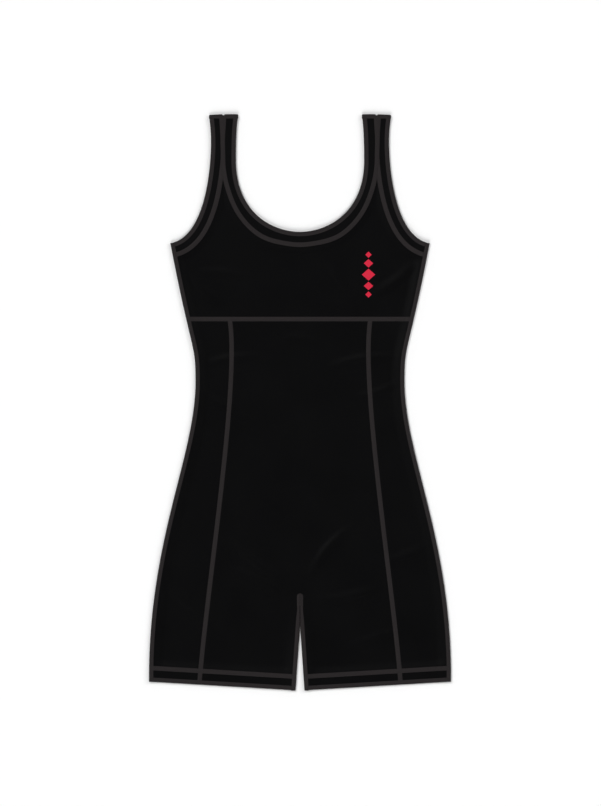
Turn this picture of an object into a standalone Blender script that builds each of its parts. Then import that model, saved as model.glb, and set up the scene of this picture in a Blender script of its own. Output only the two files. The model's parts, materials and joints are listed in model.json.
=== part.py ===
"""Sleeveless unitard with short legs, laid flat on its back.

Metres. +X is the wearer's left, +Y runs up to the shoulders and +Z is up from the surface. The origin is
on the surface, under the middle of the garment.

Every piece is first drawn flat, as a cutter draws it, for the wearer's left half. It is then laid: the back
rests on the surface, the front rests on the back, and both roll round to meet at the side, shoulder and
inner leg seams.
"""

import math

import bmesh
import bpy
import numpy as np
from mathutils import Vector
from mathutils.geometry import interpolate_bezier

MM = 0.001

# Cloth
CLOTH = 1.2 * MM  # one layer of the stretch knit
HEM = 2.2 * MM  # the leg hem, turned up once
BAND = 2.4 * MM  # a neck or armhole band, folded over elastic
GAP = 0.3 * MM  # between pieces at a seam, and between the front and the back
BAND_WIDTHS = {"neck": 19.0 * MM, "armhole": 18.3 * MM}  # at its narrowest even stretch
BAND_SWELLS = [
    # band, share of the way down it, change of width in millimetres, reach of the change as a share
    ("neck", 0.60, -1.6, 0.11),
    ("neck", 0.81, 2.2, 0.13),
]
HEM_DEPTH = 20.4 * MM

# Rolled edges, where the front turns into the back
ROLL = 2.7 * MM  # outer radius at the sides, the shoulders and the hems
CROTCH_ROLL = 1.5 * MM  # the inner leg seams start this tight at the crotch
ROLL_EASE = 18 * MM  # how far in from a rolled edge the front comes down to rest
OVERRUN = 3 * ROLL  # a band's lines run on past the seam by this, to be rolled round it

# Levels, measured up from the middle of the garment's length
SHOULDER_Y = 420 * MM
HORN_TIP_Y = 344 * MM  # the bodice ends here, in a point between the two bands of a strap
EMPIRE_Y = 121.3 * MM  # the seam under the bust
CROTCH_Y = -282.3 * MM
STRAPS_Y = 300 * MM  # everything above this belongs to a strap
UNDERARM_Y = 233.5 * MM  # the side edges start below this
HEM_INNER_Y = -420 * MM
HEM_SIDE_Y = -407.3 * MM

# Places measured out from the centre line
STRAP_SEAM_X = 112.8 * MM  # the neck band and the armhole band meet here
HEM_SIDE_X = 220.3 * MM
HEM_INNER_X = 6.2 * MM  # half the gap between the legs at the hem
SLIT = 0.3 * MM  # half the gap between the legs where they still touch
SLIT_OPENS_Y = -328.9 * MM  # below this the legs part
CENTRE_COLUMN = 1.4 * MM  # the columns down the centre are this far apart at the crotch
CENTRE_SPREAD = 5  # and this many times as far apart from this height above it
CENTRE_SPREAD_HEIGHT = 120 * MM

# Outline of the wearer's left half in millimetres, as chains of cubic Bezier stretches, each of a knot, two
# handles and the next knot
CURVES = {
    "neck_edge": [
        (89.9, 420.0), (90.6, 410.0), (93.2, 402.0), (93.2, 352.2),
        (93.2, 273.1), (36.4, 248.5), (0.0, 248.5),
    ],
    "armhole_edge": [
        (132.9, 419.0), (131.6, 407.0), (129.9, 396.0), (129.9, 376.5),
        (129.9, 369.6), (130.9, 241.5), (189.3, 231.9),
    ],
    "side": [
        (189.3, 231.9), (157.2, 64.8), (152.5, 89.1), (152.5, 30.2),
        (152.5, -79.0), (221.6, -199.8), (220.3, -407.3),
    ],
    "princess_seam": [(102.6, 121.3), (87.1, 28.7), (136.9, -277.7), (146.6, -410.5)],
}
ARMHOLE_TOP_SLOPE = 0.05  # the strap's top falls this steeply over its armhole band
STEEPEST_STRAP = 0.9  # a band counts as part of the strap while this much of its width runs sideways

# Section of a band, from its folded edge to its seam
BAND_SECTION = [
    # share of the width, face lowered by, thickness, both in millimetres
    (0.00, 0.80, 0.80),
    (0.06, 0.20, 2.00),
    (0.45, 0.00, 2.40),
    (0.88, 0.15, 2.10),
    (1.00, 0.60, 1.30),
]
SEAM_DIP = 0.3 * MM  # stitching draws a panel's edge down by this
SEAM_DIP_WIDTH = 3 * MM
FOLD_DIP = 0.6 * MM  # the turned-up edge of a hem is rounded by this on both faces
FOLD_WIDTH = 0.6 * MM
MOST_DIP = 0.3  # the dips at both ends of a short column each take at most this share of it
BAND_EASE = 13 * MM  # the front bodice rises to its bands over this width
BAND_LIFT = 1.7 * MM
HEM_EASE = 14 * MM  # the front rises to the thicker hem over this height

# Soft creases of the front as it lies, none deeper than a few thicknesses of cloth
CREASES = [
    # start x, start y, end x, end y, height, half width, all in millimetres
    (48, 205, 128, 158, 1.5, 22),
    (-62, 196, -132, 165, 1.3, 20),
    (-20, 150, 34, 142, 0.9, 18),
    (150, 62, 62, 44, 1.6, 16),
    (-148, 44, -70, 58, 1.5, 16),
    (-150, -6, -92, -22, 1.2, 17),
    (150, 4, 96, -14, 1.1, 18),
    (14, -268, 84, -196, 1.6, 17),
    (-16, -262, -70, -184, 1.4, 18),
    (196, -206, 128, -172, 1.2, 20),
    (-206, -262, -128, -300, 1.3, 20),
    (64, -352, 168, -338, 1.0, 18),
]
CREASE_REACH = 1.6  # a crease fades out at this many times its half width

# Rows below the crotch, as shares of the way to the hem's stitch line
LEG_ROWS = [0, 0.025, 0.09, 0.2, 0.35, 0.5, 0.65, 0.8, 0.93, 0.996]
BODY_ROWS = 23  # from the seam under the bust to the crotch
BODICE_ROWS = 9
BACK_BODICE_ROWS = 4
NECK_CUTS = 22  # across half a neck band, between its rolled ends
ARMHOLE_CUTS = 20
STRAP_SHARE = 0.3  # of those cuts, this share is on the strap
CLEAR_OF_ROLL = 1.5  # the first of them comes this many points of the outline after a rolled end

# Places across a rolled edge, as angles round it from the seam
ROLL_ANGLES = [0, 30, 60, 90]
FIRST_TURN = math.radians(ROLL_ANGLES[1])
QUARTER = math.pi / 2
TINY = 1e-6
SHARP = math.radians(50)

BLACK_KNIT = {"name": "black_knit", "colour": (0.006, 0.006, 0.007, 1), "roughness": 0.62}
BLACK_BAND = {"name": "black_band", "colour": (0.007, 0.007, 0.008, 1), "roughness": 0.56}


def clear_scene():
    for obj in list(bpy.data.objects):
        bpy.data.objects.remove(obj)


def bezier_line(name, steps=40):
    """A curve of the outline as a dense line of points, in metres."""
    knots = [Vector((x * MM, y * MM)) for x, y in CURVES[name]]
    line = [knots[0]]
    for start in range(0, len(knots) - 1, 3):
        line += interpolate_bezier(*knots[start : start + 4], steps)[1:]
    return np.array([tuple(p) for p in line])


def lengthened(line, start, end):
    """The line with a straight stretch added at its start and at its end."""
    before = line[0] + (line[0] - line[1]) / np.linalg.norm(line[0] - line[1]) * start
    after = line[-1] + (line[-1] - line[-2]) / np.linalg.norm(line[-1] - line[-2]) * end
    return np.vstack([before] * (start > 0) + [line] + [after] * (end > 0))


def normals(line, turn):
    """Unit normals along a line, to the side that turn chooses."""
    way = np.gradient(line, axis=0)
    way /= np.linalg.norm(way, axis=1)[:, None]
    return np.stack([way[:, 1], -way[:, 0]], axis=1) * turn


SIDE = bezier_line("side")
PRINCESS = bezier_line("princess_seam")


def side_x(y):
    return np.interp(-y, -SIDE[:, 1], SIDE[:, 0])


def princess_x(y):
    return np.interp(-y, -PRINCESS[:, 1], PRINCESS[:, 0])


def shoulder_y(x):
    return SHOULDER_Y - ARMHOLE_TOP_SLOPE * np.maximum(x - STRAP_SEAM_X, 0)


def hem_edge_y(x):
    share = (x - HEM_INNER_X) / (HEM_SIDE_X - HEM_INNER_X)
    return HEM_INNER_Y + (HEM_SIDE_Y - HEM_INNER_Y) * share


def hem_line_y(x):
    return hem_edge_y(x) + HEM_DEPTH


def inner_leg_x(y):
    """Half the gap between the legs."""
    share = (SLIT_OPENS_Y - y) / (SLIT_OPENS_Y - HEM_INNER_Y)
    return np.maximum(SLIT, HEM_INNER_X * share)


def inner_leg_roll(y):
    share = np.clip((CROTCH_Y - y) / (CROTCH_Y - hem_line_y(0)), 0, 1)
    return CROTCH_ROLL + (ROLL - CROTCH_ROLL) * share


def unrolled(radius):
    """How much further a rolled edge reaches on the flat cloth than it does when it is laid."""
    return (QUARTER - 1) * radius


def smooth(share):
    share = np.clip(share, 0, 1)
    return share * share * (3 - 2 * share)


def distance_to(line, x, y):
    """Distance from each point to a line of short stretches."""
    points = np.stack([x, y], axis=-1)[..., None, :]
    start, step = line[:-1], np.diff(line, axis=0)
    along = np.clip(((points - start) * step).sum(-1) / (step * step).sum(-1), 0, 1)
    return np.linalg.norm(points - start - along[..., None] * step, axis=-1).min(-1)


def crease_height(x, y):
    """The height of the soft creases: each is a ridge that fades to its ends and its sides."""
    height = np.zeros_like(x)
    for x0, y0, x1, y1, rise, half_width in CREASES:
        start, step = np.array([x0, y0]) * MM, np.array([x1 - x0, y1 - y0]) * MM
        px, py = x - start[0], y - start[1]
        along = (px * step[0] + py * step[1]) / (step @ step)
        across = np.abs(px * step[1] - py * step[0]) / math.sqrt(step @ step)
        fade = np.sin(np.pi * np.clip(along, 0, 1))
        height = np.maximum(height, rise * MM * fade * smooth(1 - across / (CREASE_REACH * half_width * MM)))
    return height


def band_width(name, share):
    """The width of a band below the strap, at shares of the way down it."""
    width = BAND_WIDTHS[name] + 0 * share
    for band, middle, change, reach in BAND_SWELLS:
        if band == name:
            width += change * MM * smooth(1 - np.abs(share - middle) / reach)
    return width


def band_lines():
    """The folded edge and the seam of each band on the flat cloth, point for point, from the shoulder down.

    The seam follows the straight seam of the strap until the band's own width draws it away."""
    lines = {}
    for name, turn, end in (("neck", 1, 0), ("armhole", -1, OVERRUN)):
        edge = lengthened(bezier_line(f"{name}_edge"), OVERRUN, end)
        way_in = normals(edge, -turn)
        if name == "neck":
            way_in[-1] = (0, -1)
        sideways = way_in[:, 0].clip(*sorted((turn, STEEPEST_STRAP * turn)))
        to_strap_seam = np.abs((STRAP_SEAM_X - turn * GAP / 2 - edge[:, 0]) / sideways)
        share = np.linspace(0, 1, len(edge))
        below_strap = smooth((share - 0.4) / 0.1)
        width = to_strap_seam + (band_width(name, share) - to_strap_seam) * below_strap
        width = np.minimum(to_strap_seam, width)
        lines[name] = {"edge": edge, "way_in": way_in, "seam": edge + width[:, None] * way_in}
    return lines


BANDS = band_lines()


def place_at(line, index):
    """The point of a line at a fractional index."""
    whole = np.arange(len(line))
    return np.array([np.interp(index, whole, line[:, k]) for k in (0, 1)])


def index_where(values, target):
    """The fractional index at which rising values reach the target."""
    return np.interp(target, values, np.arange(len(values)))


def from_shoulder(line):
    return shoulder_y(line[:, 0]) + unrolled(ROLL) - line[:, 1]


def from_side(line):
    return side_x(line[:, 1]) + unrolled(ROLL) - line[:, 0]


def roll_distances(radius):
    """Distances from the seam, on the flat cloth, of the points across a rolled edge."""
    return [max(GAP / 2, math.radians(a) * radius) for a in ROLL_ANGLES]


def band_stations(name, count):
    """Where a band is cut across, as (index on its edge, index on its seam), from the shoulder down.

    The rolled ends are cut at equal distances from their seam. The rest is spaced evenly, with one cut at
    the bodice's tip. Returns the cuts, and which one is at the tip."""
    edge, seam = BANDS[name]["edge"], BANDS[name]["seam"]
    found = [
        (index_where(from_shoulder(edge), s), index_where(from_shoulder(seam), s))
        for s in roll_distances(ROLL)
    ]
    last = len(edge) - 1
    closing = []
    if name == "armhole":
        closing = [
            (index_where(-from_side(edge), -s), index_where(-from_side(seam), -s))
            for s in reversed(roll_distances(ROLL))
        ]
        last = closing[0][0] - CLEAR_OF_ROLL
    tip = index_where(-seam[:, 1], -HORN_TIP_Y)
    length = np.concatenate([[0], np.cumsum(np.linalg.norm(np.diff(edge, axis=0), axis=1))])
    whole = np.arange(len(edge))
    above = np.interp([found[-1][0] + CLEAR_OF_ROLL, tip], whole, length)
    below = np.interp([tip, last], whole, length)
    on_strap = round(count * STRAP_SHARE)
    stops = [*np.linspace(*above, on_strap), *np.linspace(*below, count - on_strap)[1:]]
    at_tip = len(found) + on_strap - 1
    return found + [(i, i) for i in np.interp(stops, length, whole)] + closing, at_tip


NECK_STATIONS, NECK_TIP = band_stations("neck", NECK_CUTS)
ARMHOLE_STATIONS, ARMHOLE_TIP = band_stations("armhole", ARMHOLE_CUTS)


def band_grid(name, stations):
    """A band on the flat cloth: a row for each cut across it, and a column for each point of its section."""
    shares = np.array([row[0] for row in BAND_SECTION])[:, None]
    edge, seam = BANDS[name]["edge"], BANDS[name]["seam"]
    rows = []
    for on_edge, on_seam in stations:
        a, b = place_at(edge, on_edge), place_at(seam, on_seam)
        rows.append(a + (b - a) * shares)
    return np.array(rows)


def top_line():
    """The top of the bodice or back, from the side to the centre: along the armhole band, round the tip and
    along the neck band."""
    points = []
    for name, stations in (
        ("armhole", ARMHOLE_STATIONS[: ARMHOLE_TIP - 1 : -1]),
        ("neck", NECK_STATIONS[NECK_TIP:]),
    ):
        band = BANDS[name]
        for _, on_seam in stations:
            points.append(place_at(band["seam"], on_seam) + GAP * place_at(band["way_in"], on_seam))
    return np.array(points)


def bodice_grid(level, shares):
    """From the level up to the top line. Its first columns roll round the side."""
    top = top_line()
    rolled = roll_distances(ROLL)
    count = len(top) - len(rolled)
    low = [side_x(level) + unrolled(ROLL) - s for s in rolled]
    even = np.linspace(low[-1], 0, count + 1)[1:]
    like_top = top[len(rolled) :, 0] * low[-1] / top[len(rolled) - 1, 0]
    low = np.concatenate([low, 0.5 * even + 0.5 * like_top])
    bottom = np.stack([low, np.full(len(low), level)], axis=1)
    length = np.linalg.norm(top - bottom, axis=1)
    dips = np.clip(SEAM_DIP_WIDTH / length, 0, MOST_DIP)
    rows = [bottom]
    for share in shares:
        at = (dips + (1 - 2 * dips) * share)[:, None]
        rows.append(bottom + (top - bottom) * at)
    return np.array([*rows, top])


def row_level(row, x):
    """The height of a row at x. Rows are level down to the crotch, and then turn to follow the hem."""
    kind, value = row
    if kind == "body":
        return value + 0 * x
    if kind == "leg":
        return CROTCH_Y + (hem_line_y(x) - CROTCH_Y) * value
    return hem_edge_y(x) + value


def body_rows(top):
    """Rows from the top of a panel down to its hem."""
    body = [("body", y) for y in np.linspace(top - SEAM_DIP_WIDTH, CROTCH_Y + 2 * ROLL, BODY_ROWS)]
    legs = [("leg", share) for share in LEG_ROWS]
    hem = [("hem", y) for y in (HEM_DEPTH - GAP, HEM_DEPTH / 2, FOLD_WIDTH, 0)]
    return [("body", top), *body, *legs, *hem]


def filled(inner, outer, columns, widths):
    """Places across a panel: fixed places at each end, and the given number of columns between them.

    inner and outer are lists of arrays, the fixed places from each end. widths makes the columns uneven."""
    shares = np.linspace(0, 1, columns + 2)[1:-1] if widths is None else widths
    between = [inner[-1] + (outer[-1] - inner[-1]) * s for s in shares]
    return np.stack([*inner, *between, *reversed(outer)], axis=-1)


def body_grid(rows, inner, outer, columns=0, widths=None):
    """A panel of the body on the flat cloth. inner and outer give its fixed places across, at given levels.

    A slanted row's places depend on its levels and its levels on its places, so a few turns settle both."""
    lines = []
    for row in rows:
        level = np.array([row_level(row, 0)])
        x = filled(inner(level), outer(level), columns, widths)[0]
        for _ in range(4):
            y = row_level(row, x)
            places = filled(inner(y), outer(y), columns, widths)
            x = np.diagonal(places)
        lines.append(np.stack([x, y], axis=1))
    return np.array(lines)


def side_places(y):
    """The fixed places at the side: across the rolled edge."""
    return [side_x(y) + unrolled(ROLL) - s for s in roll_distances(ROLL)]


def seam_places(direction):
    """The fixed places beside the princess seam: its edge, and the end of its dip."""

    def places(y):
        return [princess_x(y) + direction * (GAP / 2 + w) for w in (0, SEAM_DIP_WIDTH)]

    return places


def centre_places(y):
    """The fixed places at the centre: columns down the middle, which roll round the inner legs."""
    apart = CENTRE_COLUMN * (1 + (CENTRE_SPREAD - 1) * smooth((y - CROTCH_Y) / CENTRE_SPREAD_HEIGHT))
    radius = inner_leg_roll(y)
    places = []
    for k, angle in enumerate(ROLL_ANGLES):
        leg = inner_leg_x(y) - unrolled(radius) + np.maximum(GAP / 2, math.radians(angle) * radius)
        places.append(np.where(y < CROTCH_Y - TINY, leg, k * apart))
    return places


def laid(x, y, layer, rest):
    """Flat cloth laid down: the point of its outer face, and the unit direction in through the cloth.

    layer is 1 for the front and -1 for the back. rest is the front's height away from its rolled edges."""
    even = np.full_like(x, ROLL)
    side, shoulder, inner_leg, inner_roll = side_x(y), shoulder_y(x), inner_leg_x(y), inner_leg_roll(y)
    folds = [
        # distance from the seam on the flat cloth, radius, where the seam lies, way out, where it counts
        (side + unrolled(ROLL) - x, even, side, (1, 0), y < UNDERARM_Y),
        (shoulder + unrolled(ROLL) - y, even, shoulder, (0, 1), y > STRAPS_Y),
        (x - inner_leg + unrolled(inner_roll), inner_roll, inner_leg, (-1, 0), y < CROTCH_Y - TINY),
    ]
    point = np.stack([x, y, rest if layer > 0 else np.zeros_like(x)], axis=-1)
    inward = np.zeros_like(point)
    inward[..., 2] = -layer
    for distance, radius, seam, (out_x, out_y), here in folds:
        beyond = (distance - QUARTER * radius) / ROLL_EASE
        if layer > 0:
            lift = (2 * radius - point[..., 2]) * smooth(1 - beyond)
            point[..., 2] += np.where(here, lift, 0)
        rolled = here & (beyond <= TINY)
        angle = np.clip(distance / radius, 0, QUARTER)
        first = GAP / 2 / radius
        level_edge = (angle - first) / (1 - first / FIRST_TURN)
        tilt = np.where(angle < FIRST_TURN, level_edge, angle)
        inset = radius * (1 - np.cos(angle))
        place = seam - inset if out_x + out_y > 0 else seam + inset
        if out_x:
            point[..., 0] = np.where(rolled, place, point[..., 0])
        else:
            point[..., 1] = np.where(rolled, place, point[..., 1])
        point[..., 2] = np.where(rolled, radius + layer * radius * np.sin(angle), point[..., 2])
        turned = np.stack([-out_x * np.cos(tilt), -out_y * np.cos(tilt), -layer * np.sin(tilt)], axis=-1)
        inward = np.where(rolled[..., None], turned, inward)
    return point, inward


def front_rest(x, y):
    """The height of the front's face over cloth that rests on cloth."""
    seams = np.minimum(*(distance_to(BANDS[n]["seam"], np.abs(x), y) for n in ("neck", "armhole")))
    bands = BAND_LIFT * smooth(1 - seams / BAND_EASE) * (y > EMPIRE_Y)
    to_hem = (y - hem_line_y(np.abs(x))) / HEM_EASE
    hem = 2 * (HEM - CLOTH) * smooth(1 - to_hem)
    creases = crease_height(x, y) * (1 - smooth(1 - to_hem)) * smooth(seams / BAND_EASE)
    return 2 * CLOTH + GAP + bands + hem + creases


def band_rest(x, y):
    return np.full_like(x, 2 * BAND + GAP)


def panel_section(grid, dips):
    """How far each point of a panel's face is lowered, and how thick the cloth is there."""
    x, y = grid[..., 0], grid[..., 1]
    from_hem = y - hem_edge_y(x)
    thickness = np.where(from_hem < HEM_DEPTH - GAP / 2, HEM, CLOTH)
    lowered = np.zeros_like(x)
    for part in dips:
        lowered[part] = SEAM_DIP
    turned_edge = from_hem < TINY
    lowered = np.where(turned_edge, FOLD_DIP, lowered)
    thickness = np.where(turned_edge, HEM - 2 * FOLD_DIP, thickness)
    return lowered, thickness


def band_section(grid):
    lowered, thickness = (np.array([row[k] for row in BAND_SECTION]) * MM for k in (1, 2))
    shape = grid.shape[:2]
    return np.broadcast_to(lowered, shape), np.broadcast_to(thickness, shape)


def knit_material(look):
    material = bpy.data.materials.get(look["name"])
    if material is None:
        material = bpy.data.materials.new(look["name"])
        material.use_nodes = True
        shader = material.node_tree.nodes["Principled BSDF"]
        shader.inputs["Base Color"].default_value = look["colour"]
        shader.inputs["Roughness"].default_value = look["roughness"]
        shader.inputs["Metallic"].default_value = 0
    return material


def make_piece(name, grid, section, layer, rest, halves, look):
    """One piece of cloth. The flat grid is laid on each of its halves, joined down the centre, and extruded
    inward to the thickness of the cloth."""
    bm = bmesh.new()
    through = bm.verts.layers.float_vector.new("through")
    lowered, thickness = section
    for half in halves:
        x, y = grid[..., 0], grid[..., 1]
        point, inward = laid(x, y, layer, rest(x * half, y))
        outer = point + inward * lowered[..., None]
        inner = inward * thickness[..., None]
        mirror = np.array([half, 1, 1])
        verts = []
        for row, row_in in zip(outer * mirror, inner * mirror, strict=True):
            verts.append([bm.verts.new(p) for p in row])
            for vert, vector in zip(verts[-1], row_in, strict=True):
                vert[through] = vector
        for low, high in zip(verts, verts[1:]):
            for k in range(len(low) - 1):
                bm.faces.new((low[k], low[k + 1], high[k + 1], high[k]))
    bmesh.ops.remove_doubles(bm, verts=bm.verts[:], dist=TINY)
    made = bmesh.ops.extrude_face_region(bm, geom=bm.faces[:])["geom"]
    for vert in made:
        if isinstance(vert, bmesh.types.BMVert):
            vert.co += vert[through]
    bmesh.ops.recalc_face_normals(bm, faces=bm.faces[:])
    if bm.calc_volume(signed=True) < 0:
        bmesh.ops.reverse_faces(bm, faces=bm.faces[:])
    mesh = bpy.data.meshes.new(name)
    bm.to_mesh(mesh)
    bm.free()
    mesh.shade_smooth()
    mesh.set_sharp_from_angle(angle=SHARP)
    mesh.materials.append(knit_material(look))
    obj = bpy.data.objects.new(name, mesh)
    bpy.context.scene.collection.objects.link(obj)
    return obj


def make_front():
    bodice = bodice_grid(EMPIRE_Y + GAP / 2, np.linspace(0, 1, BODICE_ROWS))
    dips = [np.s_[0, :], np.s_[-1, :]]
    make_piece("front_bodice", bodice, panel_section(bodice, dips), 1, front_rest, (1, -1), BLACK_KNIT)

    rows = body_rows(EMPIRE_Y - GAP / 2)
    centre = body_grid(rows, centre_places, seam_places(-1), 5)
    section = panel_section(centre, [np.s_[0, :], np.s_[:, -1]])
    make_piece("front_centre", centre, section, 1, front_rest, (1, -1), BLACK_KNIT)

    side = body_grid(rows, seam_places(1), side_places, 3)
    section = panel_section(side, [np.s_[0, :], np.s_[:, 0]])
    for name, half in (("left", 1), ("right", -1)):
        make_piece(f"front_side_{name}", side, section, 1, front_rest, (half,), BLACK_KNIT)


def make_back():
    """The back is one piece from the straps to the hems, with the same columns above and below the bust."""
    upper = bodice_grid(EMPIRE_Y, np.linspace(0, 1, BACK_BODICE_ROWS))[::-1]
    low = upper[-1, :, 0]
    rolled = len(ROLL_ANGLES)
    side = low[rolled - 1]
    shares = (side - low[rolled:-rolled]) / (side - low[-rolled])
    lower = body_grid(body_rows(EMPIRE_Y)[1:], centre_places, side_places, widths=1 - shares[::-1])[:, ::-1]
    grid = np.concatenate([upper, lower])
    section = panel_section(grid, [])
    make_piece("back", grid, section, -1, band_rest, (1, -1), BLACK_KNIT)


def make_bands():
    """Neck bands run from shoulder to shoulder. Armhole bands run from the shoulder to the side seam."""
    neck = band_grid("neck", NECK_STATIONS)
    armhole = band_grid("armhole", ARMHOLE_STATIONS)
    for place, layer in (("front", 1), ("back", -1)):
        make_piece(f"neck_band_{place}", neck, band_section(neck), layer, band_rest, (1, -1), BLACK_BAND)
        for name, half in (("left", 1), ("right", -1)):
            label = f"armhole_band_{place}_{name}"
            make_piece(label, armhole, band_section(armhole), layer, band_rest, (half,), BLACK_BAND)


def main():
    clear_scene()
    make_front()
    make_back()
    make_bands()


main()
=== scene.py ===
"""Looks of a black unitard laid flat: knit panels, doubled bands, flat stitching, a print and a floor.

Metres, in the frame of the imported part. Every piece is first drawn on the flat cloth, for the wearer's
left half, and then laid, the way the solids are: the back on the floor, the front on the back, both
rolled round to meet at the side, shoulder and inner leg seams. The cloth lies a thread's height inside
the solids' faces, and the stitching fills that height.
"""

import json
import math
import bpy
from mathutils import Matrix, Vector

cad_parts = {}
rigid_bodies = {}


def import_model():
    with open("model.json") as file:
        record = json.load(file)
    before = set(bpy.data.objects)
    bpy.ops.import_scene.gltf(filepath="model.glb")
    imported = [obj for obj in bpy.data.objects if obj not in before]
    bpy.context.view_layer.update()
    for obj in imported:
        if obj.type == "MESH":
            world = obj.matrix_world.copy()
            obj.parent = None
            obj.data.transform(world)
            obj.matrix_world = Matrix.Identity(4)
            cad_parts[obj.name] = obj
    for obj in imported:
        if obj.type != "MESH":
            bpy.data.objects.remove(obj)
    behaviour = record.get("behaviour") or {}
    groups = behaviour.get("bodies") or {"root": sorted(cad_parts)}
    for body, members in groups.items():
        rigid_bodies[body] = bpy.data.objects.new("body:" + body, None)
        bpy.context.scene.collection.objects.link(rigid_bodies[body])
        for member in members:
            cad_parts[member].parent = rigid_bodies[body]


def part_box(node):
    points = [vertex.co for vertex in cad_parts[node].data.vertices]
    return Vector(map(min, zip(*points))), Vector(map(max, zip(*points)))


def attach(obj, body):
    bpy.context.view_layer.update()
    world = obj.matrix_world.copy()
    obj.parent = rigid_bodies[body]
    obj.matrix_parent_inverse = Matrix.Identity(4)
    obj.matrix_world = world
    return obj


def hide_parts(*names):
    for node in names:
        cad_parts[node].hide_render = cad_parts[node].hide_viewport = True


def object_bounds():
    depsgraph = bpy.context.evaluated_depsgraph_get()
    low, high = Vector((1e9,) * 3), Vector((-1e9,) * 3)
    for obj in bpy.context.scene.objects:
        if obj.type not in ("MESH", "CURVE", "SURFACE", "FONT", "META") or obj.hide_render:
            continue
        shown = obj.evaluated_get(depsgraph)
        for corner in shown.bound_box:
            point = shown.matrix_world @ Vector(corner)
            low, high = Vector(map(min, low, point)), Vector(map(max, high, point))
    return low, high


bl_info = {
    "name": "Flat Unitard",
    "version": (1, 0, 0),
    "blender": (4, 5, 0),
    "location": "3D View > Sidebar > Unitard",
    "description": "Builds a laid-out unitard in stretch knit, with its stitching, and a plain stage",
    "category": "Object",
}

import bmesh
import bpy
import numpy as np
from bpy.props import FloatProperty, FloatVectorProperty, IntProperty, PointerProperty
from mathutils import Vector, noise
from mathutils.geometry import interpolate_bezier

for leftover in list(bpy.data.objects):
    bpy.data.objects.remove(leftover)

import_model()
CAD_LOW, CAD_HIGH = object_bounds()

MM = 0.001
TINY = 1e-6
QUARTER = math.pi / 2

# Sizes that the solids have too
CLOTH, HEM, BAND, GAP = 1.2 * MM, 2.2 * MM, 2.4 * MM, 0.3 * MM
BAND_WIDTHS = {"neck": 19.0 * MM, "armhole": 18.3 * MM}
BAND_SWELLS = [
    # band, share of the way down it, change of width in millimetres, reach of the change as a share
    ("neck", 0.60, -1.6, 0.11),
    ("neck", 0.81, 2.2, 0.13),
]
HEM_DEPTH = 20.4 * MM
ROLL = 2.7 * MM
CROTCH_ROLL = 1.5 * MM
ROLL_EASE = 18 * MM
OVERRUN = 3 * ROLL

# Levels, measured up from the middle of the garment's length
SHOULDER_Y = CAD_HIGH.y
HORN_TIP_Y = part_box("front_bodice")[1].y
STRAPS_Y = 300 * MM
UNDERARM_Y = 233.5 * MM
SIDE_STITCH_Y = 231.9 * MM
EMPIRE_Y = 121.3 * MM
CROTCH_Y = -282.3 * MM
SLIT_OPENS_Y = -328.9 * MM
HEM_INNER_Y = -420 * MM
HEM_SIDE_Y = -407.3 * MM

# Places measured out from the centre line
STRAP_SEAM_X = 112.8 * MM
STRAP_NECK_X = 89.9 * MM
STRAP_ARM_X = 132.9 * MM
STRAP_NOTCH_X = 111.6 * MM
HEM_SIDE_X = 220.3 * MM
HEM_INNER_X = 6.2 * MM
SLIT = -0.2 * MM

# Rounded corners and a notch at the strap's top, and how that top falls away to the armhole
STRAP_CORNER = 2.2 * MM
STRAP_NOTCH_DEPTH, STRAP_NOTCH_WIDTH = 1.9 * MM, 2.4 * MM
ARMHOLE_TOP_SLOPE = 0.05

# Where a band leaves the strap, as shares of its length, and the least that its way in points sideways
STRAP_FROM, STRAP_FADE = 0.4, 0.1
LEAST_SIDEWAYS = 0.9

# How far apart the columns of points beside the centre line are, and how much more so higher up
CENTRE_COLUMN = 1.4 * MM
CENTRE_SPREAD = 2.6
CENTRE_SPREAD_HEIGHT = 120 * MM

# Outline of the wearer's left half in millimetres, as chains of cubic Bezier stretches
CURVES = {
    "neck_edge": [
        (89.9, 420.0), (90.6, 410.0), (93.2, 402.0), (93.2, 352.2),
        (93.2, 273.1), (36.4, 248.5), (0.0, 248.5),
    ],
    "armhole_edge": [
        (132.9, 419.0), (131.6, 407.0), (129.9, 396.0), (129.9, 376.5),
        (129.9, 369.6), (130.9, 241.5), (189.3, 231.9),
    ],
    "side": [
        (189.3, 231.9), (157.2, 64.8), (152.5, 89.1), (152.5, 30.2),
        (152.5, -79.0), (221.6, -199.8), (220.3, -407.3),
    ],
    "princess_seam": [(102.6, 121.3), (87.1, 28.7), (136.9, -277.7), (146.6, -410.5)],
}

# How the front eases down from what is thicker, and how stitching unsettles it
SEAM_DIP, SEAM_DIP_WIDTH, MOST_DIP = 0.3 * MM, 3 * MM, 0.3
BAND_EASE, BAND_LIFT = 13 * MM, 1.7 * MM
HEM_EASE = 14 * MM
RIPPLE_SIZE, RIPPLE_SEED = 55 * MM, 3
PUCKER_SIZE, PUCKER_SEED, PUCKER_REACH = 6 * MM, 8, 15 * MM

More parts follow.
